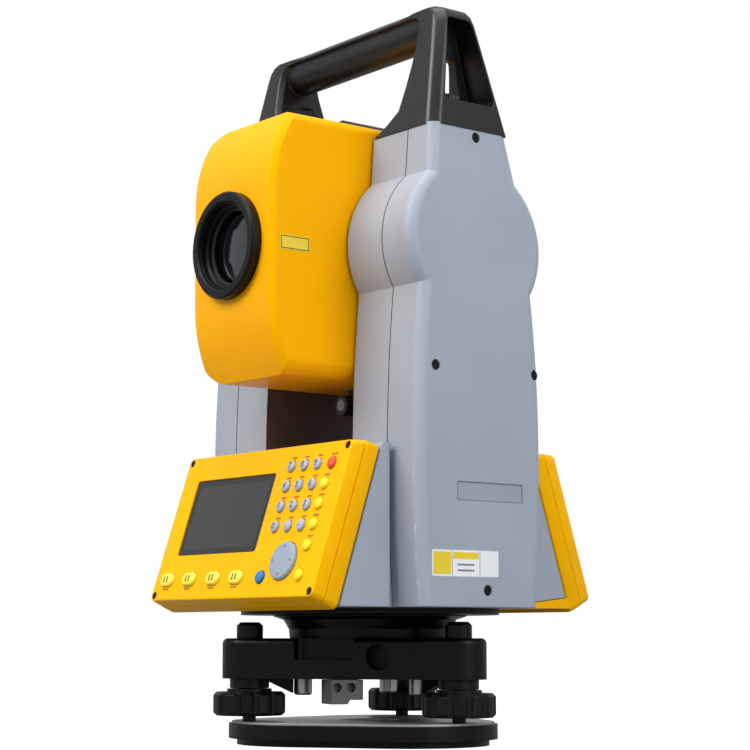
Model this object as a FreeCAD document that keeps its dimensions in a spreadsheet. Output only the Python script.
# Surveying total station, in millimetres.
# The origin is on the vertical axis at the underside of the base plate, +Z is up,
# X is the trunnion axis and the objective looks along -Y.
import FreeCAD, Part
import Sketcher
import math
import os

SIZES = {
    # Whole instrument
    "total_height": 350.0,
    "trunnion_height": 233.7,
    "standard_top": 288.3,
    "housing_bottom": 64.0,
    # Base plate and spring plate
    "plate_corner_offset": 26.3,
    "plate_corner_radius": 42.3,
    "plate_foot_height": 3.0,
    "plate_foot_inset": 4.0,
    "plate_top": 10.0,
    "spring_plate_thickness": 1.0,
    "tripod_thread_radius": 6.75,
    # Foot screws
    "foot_circle": 59.35,
    "foot_angle": 5.8,
    "spindle_radius": 3.2,
    "running_gap": 0.05,
    "knob_radius": 17.2,
    "knob_bottom": 13.6,
    "knob_top": 24.8,
    "collar_radius": 9.4,
    "collar_bottom": 26.5,
    "foot_cap_radius": 6.3,
    "foot_cap_top": 57.6,
    # Tribrach
    "tribrach_bottom": 31.0,
    "tribrach_top": 50.0,
    "tribrach_corner_radius": 13.0,
    "tribrach_round": 2.5,
    "level_circle": 53.7,
    "stub_circle": 33.2,
    "stub_radius": 4.4,
    "stub_bottom": 23.0,
    "cup_bottom_radius": 39.0,
    "cup_top_radius": 46.8,
    "disc_bottom": 61.2,
    "disc_radius": 62.8,
    "axis_radius": 11.0,
    "sleeve_radius": 17.0,
    "lock_low": 32.0,
    "lock_high": 35.0,
    # Standards
    "inner_face": 35.1,
    "seam": 61.0,
    "cover_top": 78.9,
    "cover_side": 83.6,
    "cover_bow_height": 150.0,
    "cover_bow_radius": 2037.0,
    "neck_top_front": 25.0,
    "neck_top_rear": 21.2,
    "neck_low_depth": 26.8,
    "neck_height": 264.7,
    "bulge_radius": 41.0,
    "waist_depth": 34.2,
    "waist_height": 211.1,
    "side_bow_radius": 800.0,
    "foot_depth": 34.8,
    "cover_round": 5.0,
    "wall": 3.0,
    "bearing_radius": 14.0,
    "console_top": 138.0,
    # Telescope
    "scope_half_width": 33.2,
    "scope_top": 294.5,
    "scope_bottom": 170.5,
    "scope_front": 84.0,
    "scope_rear": 62.0,
    "scope_split": 2.0,
    "scope_round": 3.0,
    "scope_nose_bow": 59.0,
    "scope_chin_bow": 78.0,
    "scope_rear_low_bow": 32.0,
    "scope_rear_high_bow": 35.0,
    "objective_radius": 25.6,
    "objective_front": 89.1,
    "tube_radius": 20.5,
    "axle_radius": 9.0,
    "sight_radius": 5.0,
    # Keyboards
    "panel_half_width": 67.0,
    "face_half_width": 66.5,
    "panel_slope": 74.2,
    "panel_tilt": 18.2,
    "panel_top_depth": 61.5,
    "panel_top": 138.5,
    "panel_corner": 3.0,
    "bezel_depth": 7.0,
    "tub_depth": 8.6,
    "face_thickness": 3.0,
    "key_rise": 1.2,
    "key_gap": 0.25,
    "key_pitch": 9.9,
    # Handle
    "handle_base_front": 25.0,
    "handle_base_rear": 20.8,
    "handle_top_front": 13.0,
    "handle_top_rear": 7.6,
    "handle_base_width": 78.9,
    "handle_top_width": 71.0,
    "handle_bar": 4.0,
    "handle_floor": 301.0,
    "grip_radius": 8.8,
    "grip_offset": 2.6,
}

doc = FreeCAD.newDocument("total_station")
sheet = doc.addObject("Spreadsheet::Sheet", "dimensions")
for row, (alias, amount) in enumerate(SIZES.items(), start=1):
    sheet.set("A%d" % row, alias.replace("_", " "))
    sheet.set("B%d" % row, str(amount))
    sheet.setAlias("B%d" % row, alias)
doc.recompute()

nodes = []


def bound(text):
    """Write a size formula so that a feature can follow the sheet."""
    word = ""
    result = ""
    for letter in str(text) + " ":
        if letter.isalnum() or letter == "_":
            word += letter
            continue
        result += "dimensions." + word if word in SIZES else word
        result += letter
        word = ""
    return result.strip()


def number(text):
    """The present value of a size formula."""
    return float(sheet.evalExpression(str(text)))


def keep(feature, label):
    """Name a finished sub-part and list it for export."""
    feature.Label = label
    nodes.append(feature)
    return feature


def origin_plane(body, role):
    for feature in body.Origin.OriginFeatures:
        if feature.Role == role:
            return feature
    raise ValueError("no plane " + role)


def place(feature, x="0", y="0", z="0", rotation=None):
    """Put a feature at a position given by size formulas."""
    turn = rotation or FreeCAD.Rotation()
    feature.Placement = FreeCAD.Placement(FreeCAD.Vector(number(x), number(y), number(z)), turn)
    for axis, formula in (("x", x), ("y", y), ("z", z)):
        if formula != "0":
            feature.setExpression("Placement.Base." + axis, bound(formula))
    return feature


def arc_between(start, end, radius, bow_left):
    """An arc from start to end; bow_left bulges it to the left of the direction of travel."""
    chord = end - start
    half = chord.Length / 2
    middle = (start + end) * 0.5
    left = FreeCAD.Vector(-chord.y, chord.x, 0).normalize()
    reach = math.sqrt(max(radius * radius - half * half, 0.0))
    centre = middle - left * reach if bow_left else middle + left * reach
    first = math.atan2(start.y - centre.y, start.x - centre.x)
    last = math.atan2(end.y - centre.y, end.x - centre.x)
    circle = Part.Circle(centre, FreeCAD.Vector(0, 0, 1), radius)
    if bow_left:
        return Part.ArcOfCircle(circle, last, first), 2, 1
    return Part.ArcOfCircle(circle, first, last), 1, 2


class Corner:
    """One corner of an outline, with an optional rounding or a bowed edge after it."""

    def __init__(self, x, y, radius="0", bow=None, bow_left=False):
        self.formulas = (str(x), str(y))
        self.point = FreeCAD.Vector(number(x), number(y), 0)
        self.radius = str(radius)
        self.bow = bow
        self.bow_left = bow_left

    def cut_points(self, before, after):
        """Where the rounding leaves the two edges, and which way it turns."""
        toward_before = (before.point - self.point).normalize()
        toward_after = (after.point - self.point).normalize()
        angle = toward_before.getAngle(toward_after)
        reach = number(self.radius) / math.tan(angle / 2)
        turn = toward_before.cross(toward_after).z
        return self.point + toward_before * reach, self.point + toward_after * reach, turn


def pin_point(sketch, geometry, position, formulas):
    """Fix a sketch point at the distances that two formulas give."""
    for kind, axis, formula in (("DistanceX", -2, formulas[0]), ("DistanceY", -1, formulas[1])):
        if formula == "0":
            sketch.addConstraint(Sketcher.Constraint("PointOnObject", geometry, position, axis))
            continue
        index = sketch.addConstraint(
            Sketcher.Constraint(kind, -1, 1, geometry, position, number(formula)))
        sketch.setExpression("Constraints[%d]" % index, bound(formula))


def draw_outline(sketch, corners):
    """Draw a closed outline through the corners and bind it to the sheet."""
    count = len(corners)
    leaves = []
    for index, corner in enumerate(corners):
        if corner.radius == "0":
            leaves.append((corner.point, corner.point, 0.0))
        else:
            leaves.append(corner.cut_points(corners[index - 1], corners[(index + 1) % count]))
    edges = []
    for index, corner in enumerate(corners):
        start = leaves[index][1]
        end = leaves[(index + 1) % count][0]
        if corner.bow is None:
            edges.append((sketch.addGeometry(Part.LineSegment(start, end)), 1, 2))
            continue
        arc, first, last = arc_between(start, end, number(corner.bow), corner.bow_left)
        edge = sketch.addGeometry(arc)
        radius = sketch.addConstraint(Sketcher.Constraint("Radius", edge, number(corner.bow)))
        sketch.setExpression("Constraints[%d]" % radius, bound(corner.bow))
        edges.append((edge, first, last))
    for index, corner in enumerate(corners):
        before, _, before_end = edges[index - 1]
        after, after_start, _ = edges[index]
        if corner.radius == "0":
            sketch.addConstraint(
                Sketcher.Constraint("Coincident", before, before_end, after, after_start))
            pin_point(sketch, after, after_start, corner.formulas)
            continue
        enter, leave, turn = leaves[index]
        arc, first, last = arc_between(enter, leave, number(corner.radius), turn > 0)
        rounding = sketch.addGeometry(arc)
        sketch.addConstraint(Sketcher.Constraint("Tangent", before, before_end, rounding, first))
        sketch.addConstraint(Sketcher.Constraint("Tangent", after, after_start, rounding, last))
        radius = sketch.addConstraint(
            Sketcher.Constraint("Radius", rounding, number(corner.radius)))
        sketch.setExpression("Constraints[%d]" % radius, bound(corner.radius))
        tip = sketch.addGeometry(Part.Point(corner.point), True)
        sketch.addConstraint(Sketcher.Constraint("PointOnObject", tip, 1, before))
        sketch.addConstraint(Sketcher.Constraint("PointOnObject", tip, 1, after))
        pin_point(sketch, tip, 1, corner.formulas)


def new_sketch(body, role, offset="0"):
    sketch = body.newObject("Sketcher::SketchObject", body.Name + "_outline")
    sketch.AttachmentSupport = [(origin_plane(body, role), "")]
    sketch.MapMode = "FlatFace"
    if offset != "0":
        sketch.AttachmentOffset.Base.z = number(offset)
        sketch.setExpression("AttachmentOffset.Base.z", bound(offset))
    return sketch


def prism(name, role, corners, start, length):
    """A body padded from an outline: start is the offset along the plane's normal."""
    body = doc.addObject("PartDesign::Body", name)
    sketch = new_sketch(body, role, start)
    draw_outline(sketch, corners)
    pad = body.newObject("PartDesign::Pad", name + "_pad")
    pad.Profile = sketch
    pad.Length = number(length)
    pad.setExpression("Length", bound(length))
    body.Tip = pad
    return body


def turned(name, corners):
    """A body revolved about +Z: corners are radius and height pairs."""
    body = doc.addObject("PartDesign::Body", name)
    sketch = new_sketch(body, "XZ_Plane")
    draw_outline(sketch, [Corner(radius, height) for radius, height in corners])
    revolution = body.newObject("PartDesign::Revolution", name + "_turn")
    revolution.Profile = sketch
    revolution.ReferenceAxis = (sketch, ["V_Axis"])
    revolution.Angle = 360
    body.Tip = revolution
    return body


def flute(body, count, circle, radius):
    """Cut finger grooves all round a turned body."""
    sketch = new_sketch(body, "XY_Plane")
    groove = sketch.addGeometry(
        Part.Circle(FreeCAD.Vector(number(circle), 0, 0), FreeCAD.Vector(0, 0, 1), number(radius)))
    pin_point(sketch, groove, 3, (circle, "0"))
    index = sketch.addConstraint(Sketcher.Constraint("Radius", groove, number(radius)))
    sketch.setExpression("Constraints[%d]" % index, bound(radius))
    pocket = body.newObject("PartDesign::Pocket", body.Name + "_groove")
    pocket.Profile = sketch
    pocket.Type = "ThroughAll"
    pocket.Midplane = True
    pattern = body.newObject("PartDesign::PolarPattern", body.Name + "_grooves")
    pattern.Originals = [pocket]
    pattern.Axis = (sketch, ["N_Axis"])
    pattern.Angle = 360
    pattern.Occurrences = count
    body.Tip = pattern
    return body


def cut(name, base, *tools):
    feature = doc.addObject("Part::Cut", name)
    feature.Base = base
    feature.Tool = tools[0] if len(tools) == 1 else fuse(name + "_tools", *tools)
    return feature


def fuse(name, *pieces):
    feature = doc.addObject("Part::MultiFuse", name)
    feature.Shapes = list(pieces)
    return feature


def common(name, *pieces):
    feature = doc.addObject("Part::MultiCommon", name)
    feature.Shapes = list(pieces)
    return feature


def group(name, *pieces):
    feature = doc.addObject("Part::Compound", name)
    feature.Links = list(pieces)
    return feature


def rectangle(x0, x1, y0, y1, radius="0"):
    return [Corner(x0, y0, radius), Corner(x1, y0, radius), Corner(x1, y1, radius), Corner(x0, y1, radius)]


def tube_outline(inner, outer, low, high):
    return [(inner, low), (outer, low), (outer, high), (inner, high)]


# ---------------------------------------------------------------- base and tribrach

FOOT_STEPS = (0, 120, 240)
ALONG_FRONT = FreeCAD.Rotation(FreeCAD.Vector(1, 0, 0), 90)
ALONG_REAR = FreeCAD.Rotation(FreeCAD.Vector(1, 0, 0), -90)
ALONG_RIGHT = FreeCAD.Rotation(FreeCAD.Vector(0, 1, 0), 90)
ALONG_LEFT = FreeCAD.Rotation(FreeCAD.Vector(0, 1, 0), -90)
LOCK_ANGLE = -58
LOCK_BLOCK_TOP = "30.8"


def about_axis(angle):
    return FreeCAD.Rotation(FreeCAD.Vector(0, 0, 1), angle)


def rounded_triangle(offset, radius):
    """Three corners of one radius whose centres lie at an offset from the axis."""
    reach = "(2 * (%s) + %s)" % (radius, offset)
    corners = []
    for step in FOOT_STEPS:
        x = "%s * cos(foot_angle + %d)" % (reach, step)
        y = "%s * sin(foot_angle + %d)" % (reach, step)
        corners.append(Corner(x, y, radius))
    return corners


def at_circle(feature, circle, step):
    """Place a feature on a circle round the vertical axis, in a foot's direction."""
    x = "%s * cos(foot_angle + %d)" % (circle, step)
    y = "%s * sin(foot_angle + %d)" % (circle, step)
    return place(feature, x, y, "0", about_axis(number("foot_angle") + step))


def rods(name, circle, radius, low, high):
    """Three upright rods, one towards each foot."""
    pieces = []
    for index, step in enumerate(FOOT_STEPS, start=1):
        rod = turned("%s_%d" % (name, index), [("0", low), (radius, low), (radius, high), ("0", high)])
        pieces.append(at_circle(rod, circle, step))
    return pieces


def make_base_plate():
    upper = prism("plate_upper", "XY_Plane",
                  rounded_triangle("plate_corner_offset", "plate_corner_radius"),
                  "plate_foot_height", "plate_top - plate_foot_height")
    lower = prism("plate_lower", "XY_Plane",
                  rounded_triangle("plate_corner_offset", "plate_corner_radius - plate_foot_inset"),
                  "0", "plate_foot_height")
    thread = turned("tripod_thread_bore", [("0", "-1"), ("tripod_thread_radius", "-1"),
                                           ("tripod_thread_radius", "plate_top + 1"), ("0", "plate_top + 1")])
    seats = rods("foot_seat", "foot_circle", "spindle_radius + running_gap", "4.5", "plate_top + 1")
    keep(cut("base_plate_cut", fuse("plate_layers", upper, lower), thread, *seats), "base_plate")


def make_spring_plate():
    sheet_metal = prism("spring_sheet", "XY_Plane",
                        rounded_triangle("plate_corner_offset", "plate_corner_radius - 1.5"),
                        "plate_top", "spring_plate_thickness")
    centre = turned("spring_centre", [("0", "plate_top - 1"), ("14", "plate_top - 1"),
                                      ("14", "plate_top + 2"), ("0", "plate_top + 2")])
    seats = rods("spring_seat", "foot_circle", "spindle_radius + running_gap",
                 "plate_top - 1", "plate_top + 2")
    keep(cut("spring_plate_cut", sheet_metal, centre, *seats), "spring_plate")


def make_foot_screw(label, step):
    """Threaded spindle with its fluted knob and thrust flange."""
    profile = [("0", "4.5"), ("spindle_radius - 1.2", "4.5"), ("spindle_radius", "6"),
               ("spindle_radius", "knob_bottom"), ("knob_radius - 1.5", "knob_bottom"),
               ("knob_radius", "knob_bottom + 1.5"), ("knob_radius", "knob_top - 1.5"),
               ("knob_radius - 1.5", "knob_top"), ("10.7", "knob_top"), ("10.7", "knob_top + 1.4"),
               ("spindle_radius", "knob_top + 1.4"), ("spindle_radius", "tribrach_top + 2"),
               ("0", "tribrach_top + 2")]
    screw = flute(turned(label + "_body", profile), 12, "knob_radius + 0.8", "2")
    keep(at_circle(screw, "foot_circle", step), label)


BUSH_SLEEVE_RADIUS = "5.5"
BUSH_BORE_RADIUS = "5.53"


def make_foot_bushes():
    """Bush in each arm: collar below, sleeve through the arm and closed cap above."""
    bore = "spindle_radius + running_gap"
    profile = [(bore, "collar_bottom"), ("collar_radius", "collar_bottom"),
               ("collar_radius", "tribrach_bottom"), (BUSH_SLEEVE_RADIUS, "tribrach_bottom"),
               (BUSH_SLEEVE_RADIUS, "tribrach_top"),
               ("foot_cap_radius", "tribrach_top"), ("foot_cap_radius", "foot_cap_top - 1.7"),
               ("foot_cap_radius - 1.7", "foot_cap_top"), ("0", "foot_cap_top"),
               ("0", "foot_cap_top - 3"), (bore, "foot_cap_top - 3")]
    bushes = []
    for index, step in enumerate(FOOT_STEPS, start=1):
        bushes.append(at_circle(turned("foot_bush_%d" % index, profile), "foot_circle", step))
    keep(group("foot_bush_group", *bushes), "foot_bushes")


def round_edges(name, base, radius, wanted):
    """Round the edges of a feature that a test on their bounding boxes picks out."""
    doc.recompute()
    edges = []
    for index, edge in enumerate(base.Shape.Edges, start=1):
        if wanted(edge.BoundBox):
            edges.append((index, number(radius), number(radius)))
    rounded = doc.addObject("Part::Fillet", name)
    rounded.Base = base
    rounded.Edges = edges
    return rounded


def tribrach_webs():
    """Sloping ribs under the body, one from each bush collar in towards its centring stub."""
    webs = []
    for index, step in enumerate(FOOT_STEPS, start=1):
        web = prism("tribrach_web_%d" % index, "XZ_Plane",
                    [Corner("38.4", "24"), Corner("49.9", "29.4"), Corner("49.9", "tribrach_bottom + 1"),
                     Corner("38.4", "tribrach_bottom + 1")], "-2.5", "5")
        webs.append(place(web, rotation=about_axis(number("foot_angle") + step)))
    return webs


def make_tribrach_body():
    block = prism("tribrach_block", "XY_Plane", rounded_triangle("foot_circle", "tribrach_corner_radius"),
                  "tribrach_bottom", "tribrach_top - tribrach_bottom")
    rounded = round_edges("tribrach_rounded", block, "tribrach_round",
                          lambda box: box.ZMin > number("tribrach_top") - 0.1)
    bore = turned("tribrach_bore", tube_outline("0", "22", "25", "tribrach_top + 1"))
    lock_room = turned("lock_room", tube_outline("0", "31.6", "tribrach_bottom - 1", "lock_high + 1.5"))
    bushes = rods("bush_hole", "foot_circle", BUSH_BORE_RADIUS, "tribrach_bottom - 5", "tribrach_top + 1")
    stubs = rods("stub_hole", "stub_circle", "stub_radius + 0.3", "tribrach_bottom - 8", "tribrach_top + 1")
    recess = prism("side_recess", "XY_Plane", rectangle("36", "60", "-25", "4", "2"), "40", "12")
    place(recess, rotation=about_axis(number("foot_angle") - 60))
    port = turned("side_port", tube_outline("0", "6", "34", "60"))
    port = place(port, rotation=ALONG_RIGHT)
    port_holder = group("side_port_holder", port)
    turn = math.radians(number("foot_angle") - 60)
    place(port_holder, "%.4f" % (-16 * math.sin(turn)), "%.4f" % (16 * math.cos(turn)), "41.3",
          about_axis(number("foot_angle") - 60))
    solid = fuse("tribrach_solid", rounded, *tribrach_webs())
    keep(cut("tribrach_cut", solid, bore, lock_room, *bushes, *stubs, recess, port_holder), "tribrach_body")


def make_lock():
    """Rotating ring whose lugs sit in the stub grooves, and the block that turns it."""
    thickness = "lock_high - lock_low"
    pieces = [turned("lock_annulus", tube_outline("24.3", "28.4", "lock_low", "lock_high"))]
    for index, step in enumerate(FOOT_STEPS, start=1):
        lug = prism("lock_lug_%d" % index, "XY_Plane", rectangle("27.5", "30.6", "-3", "3"),
                    "lock_low", thickness)
        pieces.append(place(lug, rotation=about_axis(number("foot_angle") + step)))
    arm = prism("lock_arm", "XY_Plane", rectangle("27.5", "31", "-3", "3"), LOCK_BLOCK_TOP,
                "lock_high - " + LOCK_BLOCK_TOP)
    pieces.append(place(arm, rotation=about_axis(LOCK_ANGLE)))
    keep(fuse("lock_ring_fuse", *pieces), "lock_ring")
    block = prism("lock_block", "YZ_Plane",
                  [Corner("-7.7", "19.6"), Corner("0.3", "19.6"), Corner("1.3", "21.6"), Corner("7.7", "21.6"),
                   Corner("7.7", LOCK_BLOCK_TOP), Corner("-7.7", LOCK_BLOCK_TOP)], "-8", "16")
    holes = []
    for index, side in enumerate(("-4.9", "1.9"), start=1):
        hole = turned("lock_screw_hole_%d" % index, tube_outline("0", "2.2", "4.5", "9"))
        holes.append(place(hole, "0", side, "27.2", ALONG_RIGHT))
    drilled = cut("lock_block_cut", block, *holes)
    place(drilled, "38.3 * cos(%s)" % LOCK_ANGLE, "38.3 * sin(%s)" % LOCK_ANGLE, "0", about_axis(-20))
    tongue = prism("lock_tongue", "XY_Plane", rectangle("27.5", "35", "-3", "3"), "28.3",
                   LOCK_BLOCK_TOP + " - 28.3")
    place(tongue, rotation=about_axis(LOCK_ANGLE))
    keep(fuse("lock_lever_fuse", drilled, tongue), "lock_lever")


def make_circular_level():
    cup = turned("level_cup_turned", [("0", "35"), ("11", "35"), ("11", "49"), ("10", "50"), ("8.6", "50"),
                                      ("8.6", "39"), ("0", "39")])
    bracket = prism("level_bracket", "XY_Plane", rectangle("-11", "-8.8", "-6", "6"), "35", "7")
    housing = fuse("level_housing", cup, bracket)
    vial = turned("level_vial_turned", [("0", "39"), ("8.55", "39"), ("8.55", "48.4"), ("0", "49.4")])
    x, y = "level_circle * cos(foot_angle + 180)", "level_circle * sin(foot_angle + 180)"
    place(housing, x, y, "0", about_axis(number("foot_angle") + 180))
    place(vial, x, y)
    keep(housing, "level_cup")
    keep(vial, "level_vial")


def make_lower_axis():
    """Cup and stubs that drop into the tribrach, with the bearing sleeve and the circle."""
    sleeve = "sleeve_radius"
    cup = turned("centre_cup_turned", [
        (sleeve + " + 0.05", "36"), ("21", "36"), ("21", "tribrach_top"), ("cup_bottom_radius", "tribrach_top"),
        ("cup_bottom_radius + 0.5", "54.4"), ("cup_bottom_radius + 3.1", "58.9"), ("cup_top_radius", "60.4"),
        ("cup_top_radius", "61"), ("cup_bottom_radius + 1.5", "61"), ("cup_bottom_radius - 2", "56"),
        ("cup_bottom_radius - 2", "53"), (sleeve + " + 0.05", "53")])
    keep(cup, "centre_cup")
    profile = [("0", "stub_bottom"), ("stub_radius - 0.8", "stub_bottom"), ("stub_radius", "stub_bottom + 0.8"),
               ("stub_radius", "lock_low - 0.3"), ("2.4", "lock_low - 0.3"), ("2.4", "lock_high + 0.3"),
               ("stub_radius", "lock_high + 0.3"),
               ("stub_radius", "tribrach_top"), ("0", "tribrach_top")]
    stubs = []
    for index, step in enumerate(FOOT_STEPS, start=1):
        stubs.append(at_circle(turned("stub_%d" % index, profile), "stub_circle", step))
    keep(group("stub_group", *stubs), "centring_stubs")
    bearing = turned("axis_sleeve_turned", [
        ("axis_radius + running_gap", "38"), (sleeve, "38"), (sleeve, "66"), ("20", "66"), ("20", "68"),
        ("axis_radius + running_gap", "68")])
    keep(bearing, "axis_sleeve")
    keep(turned("horizontal_circle_turned", tube_outline("14", "30", "68", "70")), "horizontal_circle")


# ---------------------------------------------------------------- alidade


def side_profile(inset):
    """Outline of a standard seen along the trunnion axis, drawn inset from its edge."""
    def corner(sign, depth, height, **bow):
        return Corner("%d * (%s - %s)" % (sign, depth, inset), height, **bow)
    bulge = {"bow": "bulge_radius - %s" % inset, "bow_left": False}
    bow = {"bow": "side_bow_radius", "bow_left": False}
    return [
        corner(-1, "foot_depth", "housing_bottom + %s" % inset),
        corner(1, "foot_depth", "housing_bottom + %s" % inset, **bow),
        corner(1, "waist_depth", "waist_height", **bulge),
        corner(1, "neck_low_depth", "neck_height"),
        corner(1, "neck_top_rear", "standard_top - %s" % inset),
        corner(-1, "neck_top_front", "standard_top - %s" % inset),
        corner(-1, "neck_low_depth", "neck_height", **bulge),
        corner(-1, "waist_depth", "waist_height", **bow),
    ]


REAR_LEDGE = "66.4"
LEVEL_DEPTH = "42.6"
LEVEL_HEIGHT = "142.4"
CONSOLE_NECK = "41.2"


def console(side):
    """Block that carries a keyboard: narrow between the standards, wide in front of them."""
    inner, outer = "%d * 33" % side, "%d * %s" % (side, CONSOLE_NECK)
    back = [Corner(inner, "housing_bottom"), Corner(outer, "housing_bottom"),
            Corner(outer, "console_top"), Corner(inner, "console_top")]
    if side < 0:
        name = "console_front"
        low = [("41", "housing_bottom"), ("69.4", "housing_bottom")]
    else:
        name = "console_rear"
        low = [("41", REAR_LEDGE), ("67.6", REAR_LEDGE + " + 3")]
    front = [Corner("%d * %s" % (side, depth), height) for depth, height in
             low + [("46.4", "134"), ("45.4", "console_top - 1"), ("44.4", "console_top"),
             ("41", "console_top")]]
    narrow = prism(name + "_narrow", "YZ_Plane", back, "-seam", "2 * seam")
    wide = prism(name + "_wide", "YZ_Plane", front, "-66.5", "133")
    return [narrow, wide]


def along_x(name, corners, low, high):
    return prism(name, "YZ_Plane", corners, low, "(%s) - (%s)" % (high, low))


def level_cradle():
    """Cradle for the plate level on the rear console, and the room for its vial."""
    cradle = prism("plate_level_cradle", "YZ_Plane", rectangle("39.6", "44.3", "136", "143.9"), "-22", "44")
    room = turned("plate_level_room", tube_outline("0", "3.45", "-19.5", "19.5"))
    return cradle, place(room, "0", LEVEL_DEPTH, LEVEL_HEIGHT, ALONG_RIGHT)


def make_frame():
    block = along_x("frame_block", side_profile("0"), "-seam", "seam")
    bosses = []
    bores = []
    for side, rotation in ((-1, ALONG_LEFT), (1, ALONG_RIGHT)):
        boss = turned("bearing_boss_%d" % (side + 1), tube_outline("0", "bearing_radius + 4", "inner_face", "44"))
        bore = turned("bearing_bore_%d" % (side + 1), tube_outline("0", "bearing_radius", "inner_face - 1", "45"))
        bosses.append(place(boss, "0", "0", "trunnion_height", rotation))
        bores.append(place(bore, "0", "0", "trunnion_height", rotation))
    gap = along_x("standard_gap", rectangle("-60", "60", "130", "300"), "-inner_face", "inner_face")
    right = along_x("right_hollow", side_profile("wall"), "inner_face + wall", "seam + 1")
    left = along_x("left_hollow", side_profile("wall"), "-seam - 1", "-inner_face - wall")
    shell = cut("frame_shell", block, gap, right, left)
    middle = along_x("middle_hollow", rectangle("-80", "80", "84", "126", "4"), "-30", "30")
    circle_room = turned("circle_room", tube_outline("0", "31.5", "60", "73"))
    spindle_seat = turned("spindle_seat", tube_outline("0", "16.02", "72", "77"))
    cradle, level_room = level_cradle()
    pieces = fuse("frame_solid", shell, cradle, *bosses, *console(-1), *console(1))
    knob_hole = turned("vertical_knob_hole", tube_outline("0", "6.6", "20", "50"))
    place(knob_hole, "-50", "0", "178", ALONG_REAR)
    keep(cut("frame_cut", pieces, *bores, middle, circle_room, spindle_seat, knob_hole,
             level_room), "alidade_frame")
    bearings = []
    for side, rotation in ((-1, ALONG_LEFT), (1, ALONG_RIGHT)):
        ring = turned("bearing_%d" % (side + 1),
                      tube_outline("axle_radius + running_gap", "bearing_radius - 0.03", "inner_face + 0.5",
                                   "43.5"))
        bearings.append(place(ring, "0", "0", "trunnion_height", rotation))
    keep(group("bearing_group", *bearings), "trunnion_bearings")


def front_profile():
    """Outer surface of the right cover seen from the front."""
    return [Corner("seam", "housing_bottom"), Corner("cover_side", "housing_bottom"),
            Corner("cover_side", "cover_bow_height", bow="cover_bow_radius", bow_left=False),
            Corner("cover_top", "standard_top"), Corner("seam", "standard_top")]


def cover_solid(name):
    sides = along_x(name + "_sides", side_profile("0"), "seam", "cover_side + 1")
    face = prism(name + "_face", "XZ_Plane", front_profile(), "-50", "100")
    solid = common(name + "_solid", sides, face)

    def upright_and_outer(box):
        outer = box.XMin > number("seam") + 6 and box.YLength < 45
        return outer and box.ZLength > 3 and box.YMin * box.YMax > 0

    rounded = round_edges(name + "_rounded", solid, "cover_round", upright_and_outer)
    hollow = along_x(name + "_hollow", side_profile("6"), "seam - 1", "72")
    return cut(name + "_shell", rounded, hollow)


SCREW_SPOTS = ((1.3, 283.8), (-27.6, 173.0), (33.5, 173.1), (2.8, 71.5))


def cover_surface(height):
    """Half-width of the cover's outer surface at a height."""
    rise = max(height - SIZES["cover_bow_height"], 0.0)
    radius = SIZES["cover_bow_radius"]
    return SIZES["cover_side"] - (radius - math.sqrt(radius * radius - rise * rise))


def make_covers():
    holes = []
    screws = []
    for index, (y, z) in enumerate(SCREW_SPOTS, start=1):
        surface = cover_surface(z)
        hole = turned("screw_hole_%d" % index, tube_outline("0", "2.5", "60", "90"))
        holes.append(place(hole, "0", str(y), str(z), ALONG_RIGHT))
        for side, rotation in ((1, ALONG_RIGHT), (-1, ALONG_LEFT)):
            profile = [("0", "62"), ("1.5", "62"), ("1.5", "%.3f" % (surface - 4)),
                       ("2.4", "%.3f" % (surface - 4)), ("2.4", "%.3f" % (surface - 1)),
                       ("0", "%.3f" % (surface - 1))]
            screw = turned("cover_screw_%d_%d" % (index, side + 1), profile)
            screws.append(place(screw, "0", str(y), str(z), rotation))
    right = cover_solid("right")
    plate = prism("name_plate_recess", "YZ_Plane", rectangle("-15.3", "24.6", "112", "120.7", "1"),
                  "cover_side - 0.5", "3")
    keep(cut("right_cover_cut", right, plate, *holes), "right_cover")
    mirror = doc.addObject("Part::Mirroring", "left_mirror")
    mirror.Source = cut("left_source", right, *holes)
    mirror.Normal = FreeCAD.Vector(1, 0, 0)
    bay = prism("battery_bay", "YZ_Plane", rectangle("-27.4", "27.4", "111.6", "168.4", "3.4"), "-90", "30")
    knob = turned("horizontal_knob_hole", tube_outline("0", "6.6", "60", "90"))
    place(knob, "0", "8", "88", ALONG_LEFT)
    keep(cut("left_cover_cut", mirror, bay, knob), "left_cover")
    keep(group("cover_screw_group", *screws), "cover_screws")
    pack = prism("battery_block", "YZ_Plane", rectangle("-27", "27", "112", "168", "3"), "-84.2", "20")
    grip = prism("battery_grip", "YZ_Plane", rectangle("-12", "12", "116", "121", "2"), "-90", "7.5")
    keep(cut("battery_cut", pack, grip), "battery_pack")


def make_vertical_axis():
    spindle = turned("spindle_turned", [
        ("5", "37"), ("axis_radius", "37"), ("axis_radius", "73"), ("16", "73"), ("16", "77"), ("5", "77")])
    keep(spindle, "vertical_spindle")
    disc = turned("base_disc_turned", tube_outline("21", "disc_radius", "disc_bottom", "housing_bottom"))
    keep(disc, "base_disc")


def make_plate_level():
    vial = turned("plate_level_tube", tube_outline("0", "3.4", "-19", "19"))
    keep(place(vial, "0", LEVEL_DEPTH, LEVEL_HEIGHT, ALONG_RIGHT), "plate_level_vial")


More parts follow.
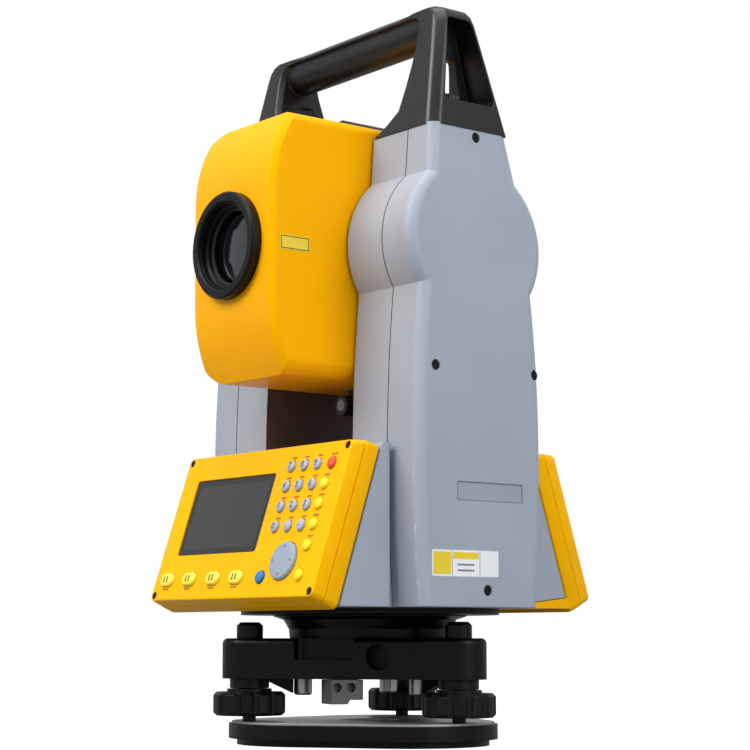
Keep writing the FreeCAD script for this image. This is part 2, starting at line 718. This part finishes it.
def make_knob_pair(prefix, x, y, z, rotation):
    """Clamp knob on a spindle, with the tangent knob turning round it."""
    clamp = [("0", "-6"), ("4", "-6"), ("4", "12.2"), ("9", "12.2"), ("9", "22.5"), ("8", "23.5"), ("0", "23.5")]
    tangent = [("4.05", "-5"), ("6.5", "-5"), ("6.5", "0.5"), ("12", "0.5"), ("12", "10.8"), ("11", "11.8"),
               ("4.05", "11.8")]
    clamp_knob = flute(turned(prefix + "_clamp_turned", clamp), 12, "9.7", "1.3")
    tangent_knob = flute(turned(prefix + "_tangent_turned", tangent), 18, "12.6", "1.2")
    keep(place(clamp_knob, x, y, z, rotation), prefix + "_clamp_knob")
    keep(place(tangent_knob, x, y, z, rotation), prefix + "_tangent_knob")


# ---------------------------------------------------------------- keyboards

NUMBER_COLUMNS = (24.2, 34.1, 44.2)
NUMBER_ROWS = (10.4, 20.4, 30.2, 40.1)
MENU_SPOTS = ((53.6, 20.6), (53.4, 30.2), (53.4, 40.0), (53.1, 49.9), (53.0, 64.0))
FUNCTION_COLUMNS = (-54.4, -35.4, -15.3, 3.8)
FUNCTION_ROW = 63.9
POWER_SPOT = (55.0, 10.7)
STAR_SPOT = (23.1, 64.3)
PAD_SPOT = (38.3, 57.0)
PANEL_SCREWS = ((-63.2, -2.6), (63.2, -2.6), (-63.2, -71.6), (63.2, -71.6))
KEYBOARDS = {}
PANEL_SCREW_BODIES = {}


def rounded_pad(name, spot, width, height, radius, low, depth):
    """Upright block with rounded corners at a place on the keyboard face."""
    x, down = spot
    outline = rectangle("%.2f" % (x - width / 2), "%.2f" % (x + width / 2),
                        "%.2f" % (-down - height / 2), "%.2f" % (-down + height / 2), "%.2f" % radius)
    return prism(name, "XY_Plane", outline, low, depth)


def key(name, spot, width, height, radius):
    """A key: cap through the face and a wider skirt under it."""
    cap = rounded_pad(name + "_cap", spot, width, height, radius, "-4.5", "4.5 + key_rise")
    skirt = rounded_pad(name + "_skirt", spot, width + 0.8, height + 0.8, radius, "-5", "1.4")
    return fuse(name + "_key", cap, skirt)


def key_hole(name, spot, width, height, radius):
    gap = 2 * SIZES["key_gap"]
    return rounded_pad(name + "_hole", spot, width + gap, height + gap, radius, "-4", "6")


def key_table():
    """Every key of one keyboard: node name, spots, width, height and corner radius."""
    numbers = [(x, down) for down in NUMBER_ROWS for x in NUMBER_COLUMNS]
    functions = [(x, FUNCTION_ROW) for x in FUNCTION_COLUMNS]
    return (
        ("power_key", [POWER_SPOT], 5.8, 5.2, 2.4),
        ("star_key", [STAR_SPOT], 6.8, 6.8, 3.3),
        ("navigation_pad", [PAD_SPOT], 19.6, 19.6, 9.7),
        ("number_keys", numbers, 5.9, 5.0, 2.3),
        ("menu_keys", list(MENU_SPOTS), 5.9, 5.0, 2.3),
        ("function_keys", functions, 11.2, 7.0, 3.4),
    )


def panel_place(feature, side):
    """Lay a keyboard piece on its sloping face; side -1 is the front, +1 the rear."""
    tilt = FreeCAD.Rotation(FreeCAD.Vector(1, 0, 0), 90 - number("panel_tilt"))
    turn = about_axis(0 if side < 0 else 180)
    return place(feature, "0", "%d * panel_top_depth" % side, "panel_top", turn.multiply(tilt))


def panel_screws(word):
    """Four corner screws of a keyboard and the stepped holes they sit in."""
    holes = []
    screws = []
    for index, (x, y) in enumerate(PANEL_SCREWS):
        bore = [("0", "-15"), ("1.25", "-15"), ("1.25", "-2"), ("1.9", "-2"), ("1.9", "1"), ("0", "1")]
        shank = [("0", "-14"), ("1.2", "-14"), ("1.2", "-2"), ("1.8", "-2"), ("1.8", "-0.4"), ("0", "-0.4")]
        hole = turned("%s_screw_hole_%d" % (word, index), bore)
        screw = turned("%s_panel_screw_%d" % (word, index), shank)
        holes.append(place(hole, str(x), str(y), "0"))
        screws.append(place(screw, str(x), str(y), "0"))
    PANEL_SCREW_BODIES[word] = screws
    return holes


def make_bezel(word, side, screw_holes):
    """Face plate with the display window and a hole for every key."""
    profile = [Corner("-panel_slope", "0"), Corner("0", "0"), Corner("2.2", "-bezel_depth"),
               Corner("-74.9", "-bezel_depth")]
    block = along_x(word + "_bezel_block", profile, "-face_half_width", "face_half_width")
    plan = prism(word + "_bezel_plan", "XY_Plane",
                 rectangle("-face_half_width", "face_half_width", "-76", "4", "panel_corner"), "-10", "12")
    slab = common(word + "_bezel_slab", block, plan)
    back = prism(word + "_bezel_back", "XY_Plane",
                 rectangle("3 - face_half_width", "face_half_width - 3", "3 - panel_slope", "-3", "6"),
                 "-bezel_depth - 1", "bezel_depth + 1 - face_thickness")
    window = prism(word + "_window", "XY_Plane", rectangle("-53", "12.9", "-51.5", "-12.7", "2"), "-5", "6")
    tools = [back, window]
    for name, spots, width, height, radius in key_table():
        if word == "rear" and name in ("star_key", "menu_keys"):
            name = "number_keys"
        caps = []
        for index, spot in enumerate(spots):
            full = "%s_%s_%d" % (word, name, index)
            tools.append(key_hole(full, spot, width, height, radius))
            caps.append(key(full, spot, width, height, radius))
        KEYBOARDS.setdefault((word, name), []).extend(caps)
    bezel = cut(word + "_bezel_cut", slab, *tools, *screw_holes)
    keep(panel_place(bezel, side), word + "_bezel")


def make_tub(word, side, screw_holes):
    """Back half of a keyboard case; the rear one carries a ledge under its console."""
    outline = [Corner("-75", "-bezel_depth"), Corner("2.3", "-bezel_depth"),
               Corner("3", "-bezel_depth - tub_depth"), Corner("-75.6", "-bezel_depth - tub_depth")]
    block = along_x(word + "_tub_block", outline, "-panel_half_width", "panel_half_width")
    room = prism(word + "_tub_room", "XY_Plane", rectangle("-63.5", "63.5", "-71", "-3.2", "6"), "-10", "4")
    tub = panel_place(cut(word + "_tub_cut", block, room, *screw_holes), side)
    if side > 0:
        ledge = along_x("rear_ledge", [
            Corner("41.6", "housing_bottom + 0.1"), Corner("71", "housing_bottom + 0.1"),
            Corner("69.5", REAR_LEDGE + " + 2.8"), Corner("41.6", REAR_LEDGE + " - 0.2")], "-66.5", "66.5")
        tub = fuse("rear_tub_and_ledge", tub, ledge)
    keep(tub, word + "_tub")


def make_keyboard(word, side):
    screw_holes = panel_screws(word)
    make_bezel(word, side, screw_holes)
    make_tub(word, side, screw_holes)
    board = prism(word + "_board_block", "XY_Plane", rectangle("-60", "60", "-70", "-6", "1"), "-10", "1.6")
    keep(panel_place(board, side), word + "_circuit_board")
    glass = prism(word + "_glass", "XY_Plane", rectangle("-52.7", "12.6", "-51.2", "-13", "1.8"), "-4", "3.4")
    module = prism(word + "_module", "XY_Plane", rectangle("-56", "15.6", "-54", "-9", "1"), "-6", "2.95")
    keep(panel_place(fuse(word + "_screen_fuse", glass, module), side), word + "_screen")
    for (owner, name), caps in KEYBOARDS.items():
        if owner == word:
            keep(panel_place(group("%s_%s_group" % (word, name), *caps), side), "%s_%s" % (word, name))
    panel_place(group(word + "_panel_screw_group", *PANEL_SCREW_BODIES[word]), side)


def make_panel_screws():
    sets = [doc.getObject(word + "_panel_screw_group") for word in ("front", "rear")]
    keep(group("panel_screw_sets", *sets), "panel_screws")


# ---------------------------------------------------------------- telescope


def scope_outline(inset):
    """Side view of the telescope housing: flat top, bottom and face joined by bowed corners."""
    back = "scope_rear - %s" % inset
    face = "-scope_front + %s" % inset
    low = "scope_bottom + %s" % inset
    high = "scope_top - %s" % inset
    return [
        Corner("-73.2 + %s" % inset, low),
        Corner("30", low, bow="scope_rear_low_bow - %s" % inset),
        Corner(back, "203"),
        Corner(back, "259.5", bow="scope_rear_high_bow - %s" % inset),
        Corner("27", high),
        Corner("-72.6 + %s" % inset, high, bow="scope_nose_bow - %s" % inset),
        Corner(face, "259"),
        Corner(face, "206", bow="scope_chin_bow - %s" % inset),
    ]


def scope_block(name, inset):
    """Housing block: the side view with its long edges rounded in plan."""
    width = "scope_half_width - %s" % inset
    side = along_x(name + "_side", scope_outline(inset), "-(%s)" % width, width)
    plan = prism(name + "_plan", "XY_Plane",
                 rectangle("-(%s)" % width, width, "-scope_front + %s" % inset, "scope_rear - %s" % inset,
                           "scope_round"), "150", "170")
    return common(name + "_block", side, plan)


def make_telescope():
    outer = scope_block("scope_outer", "0")
    inner = scope_block("scope_inner", "wall")
    holes = []
    for side, rotation in ((-1, ALONG_LEFT), (1, ALONG_RIGHT)):
        hole = turned("axle_hole_%d" % (side + 1), tube_outline("0", "axle_radius + 0.03", "20", "40"))
        holes.append(place(hole, "0", "0", "trunnion_height", rotation))
    objective = turned("objective_hole", tube_outline("0", "23.55", "70", "95"))
    place(objective, "0", "0", "trunnion_height", ALONG_FRONT)
    neck = turned("neck_hole", tube_outline("0", "15.2", "50", "70"))
    place(neck, "0", "0", "trunnion_height", ALONG_REAR)
    shell = cut("scope_shell", outer, inner, objective, neck, *holes)
    front_half = prism("front_half", "XY_Plane", rectangle("-50", "50", "-100", "scope_split"), "100", "250")
    rear_half = prism("rear_half", "XY_Plane", rectangle("-50", "50", "scope_split", "100"), "100", "250")
    keep(common("front_shell_common", shell, front_half), "telescope_front_shell")
    keep(common("rear_shell_common", shell, rear_half), "telescope_rear_shell")


def make_optics():
    ring = turned("objective_ring_turned", [
        ("20.6", "72"), ("23.5", "72"), ("23.5", "scope_front"), ("objective_radius", "scope_front"),
        ("objective_radius", "objective_front - 1"), ("objective_radius - 1", "objective_front"),
        ("21.4", "objective_front"), ("20.6", "objective_front - 0.8")])
    keep(place(ring, "0", "0", "trunnion_height", ALONG_FRONT), "objective_ring")
    lens = turned("objective_lens_turned", [("0", "73.5"), ("20.55", "75"), ("20.55", "78"), ("16", "79.2"),
                                            ("9", "80.2"), ("0", "80.6")])
    keep(place(lens, "0", "0", "trunnion_height", ALONG_FRONT), "objective_lens")
    tube = turned("lens_tube_turned", [
        ("18", "71.5"), ("tube_radius", "71.5"), ("tube_radius", "-58.5"), ("14.9", "-58.5"), ("14.9", "-79.8"),
        ("9.95", "-79.8"), ("9.95", "-86"), ("8", "-86"), ("8", "-77"), ("12", "-77"), ("12", "-56"),
        ("18", "-56")])
    keep(place(tube, "0", "0", "trunnion_height", ALONG_FRONT), "lens_tube")
    focus = turned("focus_ring_turned", [("14.95", "62.3"), ("21", "62.3"), ("22", "63.3"), ("22", "75"),
                                         ("21", "76"), ("14.95", "76")])
    flute(focus, 24, "22.6", "1.2")
    keep(place(focus, "0", "0", "trunnion_height", ALONG_REAR), "focus_ring")
    eyepiece = turned("eyepiece_turned", [("10", "80"), ("14", "80"), ("14", "85"), ("12.5", "92"), ("6", "92"),
                                          ("6", "86.4"), ("10", "86.4")])
    flute(eyepiece, 20, "14.5", "1")
    keep(place(eyepiece, "0", "0", "trunnion_height", ALONG_REAR), "eyepiece")


def make_trunnion():
    axles = []
    for side, rotation in ((-1, ALONG_LEFT), (1, ALONG_RIGHT)):
        axle = turned("axle_%d" % (side + 1), [
            ("0", "26"), ("axle_radius", "26"), ("axle_radius", "scope_half_width + 0.02"),
            ("16", "scope_half_width + 0.02"), ("16", "34.8"), ("axle_radius", "34.8"), ("axle_radius", "54"),
            ("0", "54")])
        axles.append(place(axle, "0", "0", "trunnion_height", rotation))
    keep(group("axle_group", *axles), "trunnion_axles")
    circle = turned("vertical_circle_turned", tube_outline("axle_radius + 0.03", "30", "49", "51"))
    keep(place(circle, "0", "0", "trunnion_height", ALONG_LEFT), "vertical_circle")


def make_sights():
    sights = []
    for name, height, face in (("upper", "300.5", "scope_top"), ("lower", "162.8", "scope_bottom")):
        tube = turned(name + "_sight_tube", tube_outline("0", "sight_radius", "-18", "18"))
        place(tube, "0", "0", height, ALONG_FRONT)
        low, high = (face, height) if name == "upper" else (height, face)
        foot = prism(name + "_sight_foot", "XY_Plane", rectangle("-3.2", "3.2", "-12", "12", "1.5"),
                     low, "%s - %s" % (high, low))
        sights.append(fuse(name + "_sight", tube, foot))
    keep(group("sight_group", *sights), "collimator_sights")


# ---------------------------------------------------------------- handle


def arch_outline():
    """Front view of the handle: outer line, then the opening for the hand."""
    bar_underside = "total_height - handle_bar"
    leg = [("33.5", "standard_top"), ("38", "290.5"), ("47", "298"), ("52", "318")]
    left = [Corner("-" + x, z) for x, z in leg] + [Corner("-53.4", bar_underside, "5")]
    right = [Corner("53.4", bar_underside, "5")] + [Corner(x, z) for x, z in reversed(leg)]
    foot = [Corner("handle_base_width", "standard_top")]
    top = [Corner("handle_top_width", "total_height", "7"), Corner("-handle_top_width", "total_height", "7")]
    return [Corner("-handle_base_width", "standard_top")] + left + right + foot + top


def make_handle():
    arch = prism("handle_arch", "XZ_Plane", arch_outline(), "-30", "60")
    taper = along_x("handle_taper", [
        Corner("-handle_base_front", "standard_top"), Corner("handle_base_rear", "standard_top"),
        Corner("handle_top_rear", "total_height"), Corner("-handle_top_front", "total_height")], "-80", "80")
    body = common("handle_block", arch, taper)
    frame = cut("handle_windows", body, *handle_windows())
    grip = turned("handle_grip", tube_outline("0", "grip_radius", "-54.5", "54.5"))
    place(grip, "0", "-grip_offset", "total_height - 7", ALONG_RIGHT)
    below_bar = prism("grip_room", "XY_Plane", rectangle("-60", "60", "-14", "10"), "320", "total_height - 321")
    lower_grip = common("grip_solid", grip, below_bar)
    holes = []
    for side in (-1, 1):
        hole = turned("handle_screw_hole_%d" % (side + 1), tube_outline("0", "2.1", "280", "310"))
        holes.append(place(hole, "%d * 60" % side, "2", "0"))
    keep(cut("handle_cut", fuse("handle_solid", frame, lower_grip), *holes), "carrying_handle")
    for side, word in ((-1, "left"), (1, "right")):
        make_handle_screw(word + "_handle_screw", "%d * 60" % side)


def handle_windows():
    """Each leg is open on its outer side, with a lower opening through its inner wall."""
    outer = [Corner("-15.2", "handle_floor", "3"), Corner("15.2", "handle_floor", "3"),
             Corner("4.8", "343", "2"), Corner("-8.8", "343", "2")]
    inner = [Corner("-13", "handle_floor", "1"), Corner("11.5", "handle_floor", "1"),
             Corner("9", "322", "2"), Corner("-10", "322", "2")]
    windows = []
    for side, word in ((-1, "left"), (1, "right")):
        for name, outline, near, far in (("outer", outer, 57, 82), ("inner", inner, 40, 58)):
            low, high = sorted((side * near, side * far))
            windows.append(along_x("%s_%s_window" % (word, name), outline, str(low), str(high)))
    return windows


def make_handle_screw(label, x):
    """Captive thumb screw that stands on the floor of a handle leg."""
    seat = "handle_floor + 0.2"
    profile = [("0", "standard_top"), ("2", "standard_top"), ("2", seat), ("5", seat),
               ("5", seat + " + 5.2"), ("4.2", seat + " + 6"), ("0", seat + " + 6")]
    screw = flute(turned(label + "_turned", profile), 16, "5.3", "0.7")
    keep(place(screw, x, "2", "0"), label)


def check_solids():
    """Stop if any feature failed or any sub-part is not a valid shape."""
    for feature in doc.Objects:
        if "Invalid" in feature.State or "Error" in feature.State:
            raise ValueError("failed feature " + feature.Name)
    for node in nodes:
        if node.Shape.isNull() or not node.Shape.isValid() or not node.Shape.Solids:
            raise ValueError("bad shape " + node.Label)


def write_parts():
    os.makedirs("parts", exist_ok=True)
    for node in nodes:
        node.Shape.exportStep("parts/%s.step" % node.Label)
        print(node.Label, len(node.Shape.Solids), round(node.Shape.Volume))


def build():
    make_base_plate()
    make_spring_plate()
    for label, step in (("right_foot_screw", 0), ("rear_foot_screw", 120), ("left_foot_screw", 240)):
        make_foot_screw(label, step)
    make_foot_bushes()
    make_tribrach_body()
    make_lock()
    make_circular_level()
    make_lower_axis()
    make_vertical_axis()
    make_frame()
    make_covers()
    make_plate_level()
    make_knob_pair("vertical", "-50", "39.8", "178", ALONG_REAR)
    make_knob_pair("horizontal", "-84", "8", "88", ALONG_LEFT)
    make_keyboard("front", -1)
    make_keyboard("rear", 1)
    make_panel_screws()
    make_telescope()
    make_optics()
    make_trunnion()
    make_sights()
    make_handle()
    doc.recompute()
    check_solids()
    write_parts()


build()
